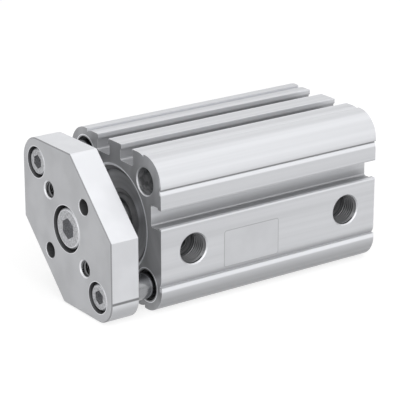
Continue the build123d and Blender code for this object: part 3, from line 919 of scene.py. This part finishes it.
@dataclass(frozen=True)
class LabelFilm(Finish):
    """Bare silvered film with a fine leather grain, a cut edge and a satin lacquer."""

    metallic: float = 0.45
    low: Pair = (0.0, 0.0)
    high: Pair = (20 * MM, 10 * MM)
    corner: float = 1 * MM
    border: float = 0.3 * MM
    border_share: float = 0.72

    def outline(self, on: Surface) -> Socket:
        """Finds the narrow border of the film, where its cut edge shows.

        Args:
            on: What the finish is laid on.

        Returns:
            A mask that is 1 on the border.
        """
        bench = on.bench
        along, _, up = bench.parts(on.place)
        past = []
        for value, low, high in ((along, self.low[0], self.high[0]), (up, self.low[1], self.high[1])):
            away = bench.size(bench.minus(value, (low + high) / 2))
            past.append(bench.minus(away, (high - low) / 2 - self.corner))
        beyond = [bench.math("MAXIMUM", reach, 0.0) for reach in past]
        squares = [bench.times(reach, reach) for reach in beyond]
        round_part = bench.math("SQRT", bench.plus(*squares))
        flat_part = bench.math("MINIMUM", bench.math("MAXIMUM", *past), 0.0)
        inward = bench.minus(self.corner, bench.plus(round_part, flat_part))
        return bench.ramp(inward, self.border * 0.8, self.border * 1.2, 1.0, 0.0)

    def lay(self, on: Surface) -> None:
        """Lays the film's grain, its border, its lacquer and slight waves.

        Args:
            on: What it is laid on.
        """
        bench = on.bench
        grain = on.effect(Effect.FINE_GRAIN, Grains=6000.0)
        film = bench.blend(grain["Tone"], self.tone(0.985), self.tone(1.01))
        on.put("Base Color", bench.over(film, self.outline(on), self.tone(self.border_share), strength=0.55))
        on.shader.inputs["Coat Weight"].default_value = 0.15
        on.shader.inputs["Coat Roughness"].default_value = 0.3
        on.rough(self.roughness, grain["Tone"], spread=0.05)
        waves = bench.noise(on.place, 220.0, detail=1.0, roughness=0.4)
        height = bench.plus(grain["Height"], bench.times(waves, 2.0))
        on.bump(height, strength=0.12, distance=0.02 * MM)


def stand(name: str, data: bpy.types.ID) -> bpy.types.Object:
    """Puts a mesh, a lamp or a camera into the scene.

    Args:
        name: Name of its object.
        data: The mesh, lamp or camera.

    Returns:
        The object.
    """
    made = bpy.data.objects.new(name, data)
    bpy.context.scene.collection.objects.link(made)
    return made


def mesh_piece(
    name: str, points: list[Vector], faces: list[tuple[int, ...]], finish: bpy.types.Material
) -> bpy.types.Object:
    """Makes a mesh object.

    Args:
        name: Name of the piece.
        points: Its corners.
        faces: Corner numbers of each face.
        finish: Its material.

    Returns:
        The object, linked into the scene.
    """
    mesh = bpy.data.meshes.new(name)
    mesh.from_pydata(points, [], faces)
    mesh.materials.append(finish)
    mesh.update()
    return stand(name, mesh)


@dataclass
class Thread:
    """Right-hand thread in a hole: one ridge that winds along the wall and fades in at both ends.

    The reach is where it starts and ends, measured inward from the hole's mouth. Flank, crest and
    depth are shares of the pitch.
    """

    name: str
    mouth: Vector
    inward: Vector
    major: float
    pitch: float
    reach: Pair
    steps: int = 36
    flank: float = 0.43
    crest: float = 0.09
    depth: float = 0.5413
    least_height: float = 0.02
    sunk: float = 0.02 * MM

    def outline(self, height: float) -> tuple[Pair, ...]:
        """Gives the ridge's section as places along the hole and radii.

        Args:
            height: Share of the ridge's full height.

        Returns:
            Four corners, from one flank's foot to the other's.
        """
        foot = self.major + self.sunk
        top = self.major - self.depth * self.pitch * height
        return (
            (-self.flank * self.pitch, foot),
            (-self.crest * self.pitch, top),
            (self.crest * self.pitch, top),
            (self.flank * self.pitch, foot),
        )

    def build(self, finish: bpy.types.Material) -> bpy.types.Object:
        """Builds the ridge.

        Args:
            finish: The material of the hole's wall.

        Returns:
            The thread's object.
        """
        axis = self.inward.normalized()
        side = axis.orthogonal().normalized()
        other = axis.cross(side)
        start, end = self.reach
        turns = (end - start) / self.pitch
        count = round(turns * self.steps)
        points: list[Vector] = []
        for step in range(count + 1):
            turn = step / self.steps
            height = max(self.least_height, min(1.0, 2 * turn, 2 * (turns - turn)))
            radial = side * math.cos(2 * math.pi * turn) + other * math.sin(2 * math.pi * turn)
            middle = self.mouth + axis * (start + self.pitch * turn)
            points.extend(middle + axis * shift + radial * radius for shift, radius in self.outline(height))
        faces: list[tuple[int, ...]] = []
        for near in range(0, 4 * count, 4):
            far = near + 4
            for corner in range(4):
                following = (corner + 1) % 4
                faces.append((near + corner, near + following, far + following, far + corner))
        faces.append((3, 2, 1, 0))
        faces.append(tuple(4 * count + corner for corner in range(4)))
        return mesh_piece(self.name, points, faces, finish)


@dataclass
class Film:
    """Thin rounded film laid on a side that looks along +Y, down over the side's rounded shoulder.

    Low and high are its corners, as places along X and Z.
    """

    name: str
    low: Pair
    high: Pair
    face: float
    shoulder_start: float
    shoulder_radius: float
    corner: float = 1 * MM
    thickness: float = 0.03 * MM
    sunk: float = 0.02 * MM
    roll: float = 0.06 * MM
    rows: int = 40
    corner_rows: int = 8

    def surface(self, height: float) -> float:
        """Finds how far out along Y the side lies at a height."""
        past = max(0.0, abs(height) - self.shoulder_start)
        return self.face - self.shoulder_radius + math.sqrt(self.shoulder_radius**2 - past**2)

    def inset(self, height: float) -> float:
        """Finds how far the film's ends draw in at a height, for its rounded corners.

        Args:
            height: Height of the row.

        Returns:
            The inset of both ends.
        """
        past = self.corner - min(height - self.low[1], self.high[1] - height)
        if past <= 0:
            return 0.0
        return self.corner - math.sqrt(max(0.0, self.corner**2 - past**2))

    def heights(self) -> list[float]:
        """Lists the rows' heights, close together where the corners round off.

        Returns:
            Heights from the film's lower edge to its upper one.
        """
        quarter = [math.pi / 2 * step / self.corner_rows for step in range(self.corner_rows)]
        turn = [self.corner * (1 - math.cos(angle)) for angle in quarter]
        low, high = self.low[1], self.high[1]
        span = high - low - 2 * self.corner
        middle = [low + self.corner + span * row / self.rows for row in range(self.rows + 1)]
        return [low + step for step in turn] + middle + [high - step for step in reversed(turn)]

    def build(self, finish: bpy.types.Material) -> bpy.types.Object:
        """Builds the film as rows that follow the side, with its edge rolled down.

        Args:
            finish: Its material.

        Returns:
            The film's object.
        """
        rows = self.heights()
        points: list[Vector] = []
        for row, height in enumerate(rows):
            inset = self.inset(height)
            left, right = self.low[0] + inset, self.high[0] - inset
            face = self.surface(height)
            raised = -self.sunk if row in (0, len(rows) - 1) else self.thickness
            roll = min(self.roll, (right - left) / 4)
            section = ((left, -self.sunk), (left + roll, raised), (right - roll, raised), (right, -self.sunk))
            points.extend(Vector((along, face + lift, height)) for along, lift in section)
        faces: list[tuple[int, ...]] = []
        for row in range(len(rows) - 1):
            for column in range(3):
                near = 4 * row + column
                faces.append((near, near + 4, near + 5, near + 1))
        return mesh_piece(self.name, points, faces, finish)


@dataclass
class Assembly:
    """One sub-assembly: the frame's solids, the shared effects, and the pieces that it adds."""

    nodes: dict[str, bpy.types.Object]
    effects: EffectShelf
    pieces: list[bpy.types.Object] = field(default_factory=list)

    def dress(self, finish: Finish, *names: str) -> None:
        """Gives solids a finish.

        Args:
            finish: The finish.
            *names: Which solids.
        """
        material = finish.build(self.effects)
        for name in names:
            solid = self.nodes[name]
            if not solid.material_slots:
                solid.data.materials.append(material)
            for slot in solid.material_slots:
                slot.material = material
            log.info("%s: %s in %s", type(self).__name__, name, finish.name)

    def add(self, made: bpy.types.Object, body: Body, slot: Slot) -> None:
        """Lets a new piece ride on its body and keeps it for the report.

        Args:
            made: The piece.
            body: The body that carries it.
            slot: The record's slot for its finish; not used.
        """
        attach(made, body.value)
        self.pieces.append(made)


@dataclass
class Housing(Assembly):
    """The extruded body with its port and corner threads and its bare label."""

    length: float = 84 * MM
    flat: float = 24.75 * MM
    shoulder_start: float = 12.75 * MM
    shoulder_radius: float = 6.01 * MM
    corner: float = 16.25 * MM
    guide: float = 17 * MM
    sink_radius: float = 4.2 * MM
    guide_radius: float = 5.5 * MM
    guide_rim: float = 0.18 * MM
    mouth_radius: float = 17.05 * MM
    mouth_rim: float = 0.6 * MM
    port_places: Pair = (71.9 * MM, 12.1 * MM)
    port_height: float = -5.4 * MM
    port_major: float = 4.864 * MM
    port_pitch: float = 0.907 * MM
    port_reach: Pair = (0.75 * MM, 6.9 * MM)
    screw_major: float = 3 * MM
    screw_pitch: float = 1 * MM
    rear_reach: Pair = (0.9 * MM, 11.3 * MM)
    front_reach: Pair = (7.1 * MM, 17.8 * MM)
    label_low: Pair = (39.2 * MM, -14.3 * MM)
    label_high: Pair = (60.5 * MM, -2.1 * MM)

    def build(self) -> None:
        """Dresses the extrusion and builds what sits in and on it."""
        mouths = tuple((along, self.flat, self.port_height) for along in self.port_places)
        skin = Extrusion(
            "anodised_extrusion",
            level=0.825,
            metallic=0.45,
            roughness=0.42,
            length=self.length,
            port_mouths=mouths,
            skin_lines=self.lines(),
            shaded_bores=self.front_bores(),
            rims=self.front_rims(),
        )
        self.dress(skin, "profile_body")
        # The threads' grey is set dark, which paints the shade inside the holes.
        cut = Turned("cut_thread_aluminium", level=0.35, metallic=0.8, roughness=0.3).build(self.effects)
        self.port_threads(cut)
        self.corner_threads(cut)
        self.label()

    def lines(self) -> tuple[SkinLine, ...]:
        """Lists the skin's lines: painted shade in the grooves, painted highlights on the lips beside them,
        painted highlights and shade along the slot edges, a painted highlight on the upper lobe and painted
        shade on the lower one.

        Returns:
            The lines of the side, then those of the top and bottom.
        """
        return (
            # Painted shade in the two grooves.
            SkinLine(Face.SIDE, place=15.45 * MM, width=0.55 * MM, level=0.36, strength=0.58),
            SkinLine(Face.SIDE, place=-15.4 * MM, width=0.40 * MM, level=0.30, strength=0.30),
            # Painted highlights on the lips beside the grooves.
            SkinLine(Face.SIDE, place=14.5 * MM, width=0.85 * MM, level=0.99, strength=0.60),
            SkinLine(Face.SIDE, place=-16.5 * MM, width=0.95 * MM, level=0.99, strength=0.70),
            # Painted shade on the lower lobe and a painted highlight on the upper one.
            SkinLine(Face.SIDE, place=-18.9 * MM, width=2.2 * MM, level=0.60, strength=0.28),
            SkinLine(Face.SIDE, place=18.0 * MM, width=2.2 * MM, level=0.98, strength=0.40),
            # Painted highlight and painted shade along the port-side slot's edges.
            SkinLine(Face.SIDE, place=3.0 * MM, width=0.45 * MM, level=0.98, strength=0.60),
            SkinLine(Face.SIDE, place=9.4 * MM, width=0.30 * MM, level=0.60, strength=0.35),
            # Painted highlights along the top slots' edges and beside the top grooves.
            SkinLine(Face.TOP, place=3.3 * MM, width=0.45 * MM, level=0.96, strength=0.50),
            SkinLine(Face.TOP, place=9.7 * MM, width=0.45 * MM, level=0.96, strength=0.50),
            SkinLine(Face.TOP, place=15.0 * MM, width=0.45 * MM, level=0.96, strength=0.50),
        )

    def front_bores(self) -> tuple[Triple, ...]:
        """Lists the front bores whose walls get painted shade, by Y, Z and radius.

        Returns:
            Two screw sinks and two guide bores.
        """
        sinks = tuple((side * self.corner, side * self.corner, self.sink_radius) for side in (1, -1))
        guides = tuple((side * self.guide, -side * self.guide, self.guide_radius) for side in (1, -1))
        return sinks + guides

    def front_rims(self) -> tuple[Four, ...]:
        """Lists the rims of the front that get a painted highlight, by Y, Z, radius and width.

        Returns:
            The main bore's rim and the guide bores'.
        """
        guides = tuple(
            (side * self.guide, -side * self.guide, self.guide_radius, self.guide_rim) for side in (1, -1)
        )
        return ((0.0, 0.0, self.mouth_radius, self.mouth_rim),) + guides

    def port_threads(self, finish: bpy.types.Material) -> None:
        """Builds the thread of each air port.

        Args:
            finish: Their material.
        """
        inward = Vector((0, -1, 0))
        for name, along in zip(("front", "rear"), self.port_places):
            mouth = Vector((along, self.flat, self.port_height))
            thread = Thread(
                f"port_thread_{name}", mouth, inward, self.port_major, self.port_pitch, self.port_reach
            )
            self.add(thread.build(finish), Body.HOUSING, Slot.BODY)

    def corner_threads(self, finish: bpy.types.Material) -> None:
        """Builds the threads of the four rear corner holes and of the two free front ones.

        Args:
            finish: Their material.
        """
        rear_end = ("rear", 0.0, 1, self.rear_reach)
        front_end = ("front", self.length, -1, self.front_reach)
        for side_y, side_z in ((1, 1), (1, -1), (-1, 1), (-1, -1)):
            corner = f"{'port' if side_y > 0 else 'far'}_{'top' if side_z > 0 else 'bottom'}"
            for end, along, turned, reach in (rear_end, front_end) if side_y == side_z else (rear_end,):
                mouth = Vector((along, side_y * self.corner, side_z * self.corner))
                inward = Vector((turned, 0, 0))
                thread = Thread(
                    f"{end}_thread_{corner}", mouth, inward, self.screw_major, self.screw_pitch, reach
                )
                self.add(thread.build(finish), Body.HOUSING, Slot.BODY)

    def label(self) -> None:
        """Lays the bare label on the flat between the ports."""
        film = LabelFilm("label_film", level=0.81, roughness=0.42, low=self.label_low, high=self.label_high)
        shape = Film(
            "bare_label",
            low=self.label_low,
            high=self.label_high,
            face=self.flat,
            shoulder_start=self.shoulder_start,
            shoulder_radius=self.shoulder_radius,
        )
        self.add(shape.build(film.build(self.effects)), Body.HOUSING, Slot.BODY)


@dataclass
class EndClosures(Assembly):
    """Covers, their rings and seals, and the bushes and wipers of the rods."""

    def build(self) -> None:
        """Dresses the covers, rings, seals, bushes and wipers."""
        cover = Turned("turned_cover", level=0.66, metallic=0.7, roughness=0.42, brushed=0.8)
        self.dress(cover, "front_cover", "rear_cover")
        spring = Finish("blued_spring_steel", level=0.42, roughness=0.3)
        self.dress(spring, "front_retaining_ring", "rear_retaining_ring")
        rubber = Rubber("seal_rubber", level=0.13)
        seals = [f"{end}_{part}" for part in ("cover_seal", "bumper") for end in ("front", "rear")]
        self.dress(rubber, *seals, "guide_wiper_upper", "guide_wiper_lower")
        self.dress(Rubber("rod_seal_polyurethane", level=0.34, roughness=0.4), "rod_seal")
        bronze = Bronze("sintered_bronze", level=1.0, roughness=0.42)
        self.dress(bronze, "rod_bush", "guide_bush_upper", "guide_bush_lower")


@dataclass
class RodSet(Assembly):
    """Piston, piston rod and guide rods."""

    guide: float = 17 * MM

    def build(self) -> None:
        """Dresses the rods and the pieces of the piston."""
        chrome = Turned("chromed_rod", level=0.66, roughness=0.18, rings=9000.0, strength=0.08)
        self.dress(chrome, "piston_rod")
        for name, side in (("upper", -1), ("lower", 1)):
            centre = (side * self.guide, -side * self.guide)
            ground = replace(chrome, name=f"ground_guide_rod_{name}", level=0.58, centre=centre)
            self.dress(ground, f"guide_rod_{name}")
        turned = Turned("turned_piston", level=0.72, roughness=0.32)
        self.dress(turned, "piston_front_half", "piston_rear_half")
        self.dress(Finish("ferrite", level=0.2, metallic=0.2, roughness=0.5), "piston_magnet")
        self.dress(Rubber("wear_ring_plastic", level=0.3, roughness=0.45), "piston_wear_ring")
        rubber = Rubber("piston_rubber", level=0.12)
        self.dress(rubber, "piston_seal_front", "piston_seal_rear", "spigot_seal")
        steel = ScrewSteel("piston_screw_steel", level=0.5, roughness=0.38, head_radius=6 * MM)
        self.dress(steel, "piston_screw")


@dataclass
class EndPlate(Assembly):
    """The front plate with its two threaded holes and its three screws."""

    front: float = 102 * MM
    thickness: float = 10 * MM
    guide: float = 17 * MM
    hole: float = 9.9 * MM
    hole_major: float = 2.5 * MM
    hole_pitch: float = 0.8 * MM
    thread_inset: float = 0.8 * MM
    centre_sink: float = 7.5 * MM
    guide_sink: float = 5 * MM
    centre_head: float = 6.5 * MM
    guide_head: float = 4.25 * MM

    def build(self) -> None:
        """Dresses the plate and its screws and builds the threads."""
        rims = (
            (0.0, 0.0, self.centre_sink),
            (-self.guide, self.guide, self.guide_sink),
            (self.guide, -self.guide, self.guide_sink),
        )
        holes = tuple((a * self.hole, b * self.hole, self.hole_major) for a in (1, -1) for b in (1, -1))
        plate = MilledPlate(
            "milled_plate", level=0.855, metallic=0.6, roughness=0.4, rims=rims, holes=holes
        )
        self.dress(plate, "front_plate")
        centre = ScrewSteel("centre_screw_steel", level=0.71, metallic=0.8, head_radius=self.centre_head)
        self.dress(centre, "plate_centre_screw")
        # The threads' grey is set dark, which paints the shade inside the holes.
        cut = Turned("plate_thread_aluminium", level=0.42, roughness=0.3).build(self.effects)
        for name, side in (("upper", -1), ("lower", 1)):
            steel = ScrewSteel(
                f"guide_screw_steel_{name}",
                level=0.69,
                metallic=0.8,
                knurls=44.0,
                centre=(side * self.guide, -side * self.guide),
                head_radius=self.guide_head,
            )
            self.dress(steel, f"guide_screw_{name}")
            mouth = Vector((self.front, side * self.hole, -side * self.hole))
            inward = Vector((-1, 0, 0))
            reach = (self.thread_inset, self.thickness - self.thread_inset)
            thread = Thread(f"plate_thread_{name}", mouth, inward, self.hole_major, self.hole_pitch, reach)
            self.add(thread.build(cut), Body.ROD, Slot.PLATE)


@dataclass
class Lamp:
    """One softbox, placed by where it stands and aimed at a point. Its power is in watts."""

    name: str
    place: Triple
    aim: Triple
    size: Pair
    power: float

    def build(self) -> None:
        """Builds the softbox."""
        light = bpy.data.lights.new(self.name, "AREA")
        light.shape = "RECTANGLE"
        light.size, light.size_y = self.size
        light.energy = self.power
        made = stand(self.name, light)
        made.location = self.place
        made.rotation_euler = (Vector(self.aim) - Vector(self.place)).to_track_quat("-Z", "Y").to_euler()


@dataclass
class Studio:
    """Camera, softboxes, pale world and floor. Angles are in degrees, lens and sensor in millimetres."""

    azimuth: float = 144.38
    elevation: float = 19.47
    lens: float = 175.6
    sensor: float = 36.0
    nearest: float = 10 * MM
    distance: float = 605.6 * MM
    aim: Triple = (61.73 * MM, 13.74 * MM, 5.10 * MM)
    middle: Triple = (50 * MM, 0.0, 0.0)
    floor_height: float = -25 * MM
    floor_half: float = 3.0
    floor_tone: float = 0.36
    floor_glow: float = 0.74
    world_fill: float = 0.42

    def build(self) -> None:
        """Builds everything that stands round the object."""
        self.camera()
        self.world()
        self.floor()
        key = Lamp("key_softbox", place=(0.42, 0.72, 0.60), aim=self.middle, size=(1.3, 1.3), power=9.4)
        top = Lamp("top_softbox", place=(-0.50, 0.35, 0.75), aim=self.middle, size=(1.4, 1.2), power=1.8)
        far = Lamp("far_softbox", place=(-0.35, -0.40, 0.95), aim=self.middle, size=(1.4, 1.4), power=1.2)
        for lamp in (key, top, far):
            lamp.build()
        bpy.context.scene.view_settings.view_transform = "Standard"

    def camera(self) -> None:
        """Builds the camera at the photograph's angle."""
        turn, rise = math.radians(self.azimuth), math.radians(self.elevation)
        back = Vector((math.sin(turn) * math.cos(rise), -math.cos(turn) * math.cos(rise), math.sin(rise)))
        lens = bpy.data.cameras.new("photo_camera")
        lens.lens = self.lens
        lens.sensor_width = self.sensor
        lens.clip_start = self.nearest
        made = stand("photo_camera", lens)
        made.rotation_euler = (-back).to_track_quat("-Z", "Y").to_euler()
        made.location = Vector(self.aim) + back * self.distance
        bpy.context.scene.camera = made

    def seen(self, bench: Bench) -> Socket:
        """Finds the rays from the camera, from gloss and through glass.

        Args:
            bench: The material's bench.

        Returns:
            1 for those rays and 0 for the light that falls.
        """
        path = bench.node("ShaderNodeLightPath")
        direct = bench.math("MAXIMUM", path.outputs["Is Camera Ray"], path.outputs["Is Glossy Ray"])
        return bench.math("MAXIMUM", direct, path.outputs["Is Transmission Ray"])

    def world(self) -> None:
        """Builds a world that looks white and gives a plain soft fill."""
        world = bpy.data.worlds.new("pale_world")
        bpy.context.scene.world = world
        bench = Bench.fresh(world)
        strength = bench.ramp(self.seen(bench), 0.0, 1.0, self.world_fill, 1.0)
        light = bench.node("ShaderNodeBackground", {"Color": WHITE, "Strength": strength})
        bench.node("ShaderNodeOutputWorld", {"Surface": light.outputs[0]})

    def floor(self) -> None:
        """Builds the pale floor, which looks white in the open and keeps the object's shadow."""
        material = bpy.data.materials.new("pale_floor")
        bench = Bench.fresh(material)
        tone = (self.floor_tone, self.floor_tone, self.floor_tone, 1.0)
        matt = bench.node("ShaderNodeBsdfDiffuse", {"Color": tone})
        shown = bench.times(self.seen(bench), self.floor_glow)
        glow = bench.node("ShaderNodeEmission", {"Color": WHITE, "Strength": shown})
        both = bench.node("ShaderNodeAddShader", {0: matt.outputs[0], 1: glow.outputs[0]})
        bench.node("ShaderNodeOutputMaterial", {"Surface": both.outputs[0]})
        half, height = self.floor_half, self.floor_height
        turns = ((-1, -1), (1, -1), (1, 1), (-1, 1))
        corners = [Vector((half * x, half * y, height)) for x, y in turns]
        mesh_piece("pale_floor", corners, [(0, 1, 2, 3)], material)


def main() -> None:
    """Builds the sub-assemblies in order and reports their pieces."""
    logging.basicConfig(level=logging.INFO, format="%(name)s: %(message)s")
    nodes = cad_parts
    effects = EffectShelf()
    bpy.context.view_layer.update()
    for kind in (Housing, EndClosures, RodSet, EndPlate):
        assembly = kind(nodes, effects)
        assembly.build()
        for piece in assembly.pieces:
            log.info("%s: %s, %d faces", kind.__name__, piece.name, len(piece.data.polygons))
    Studio().build()
    log.info("dressed %d solids", len(nodes))


if __name__ == "__main__":
    main()
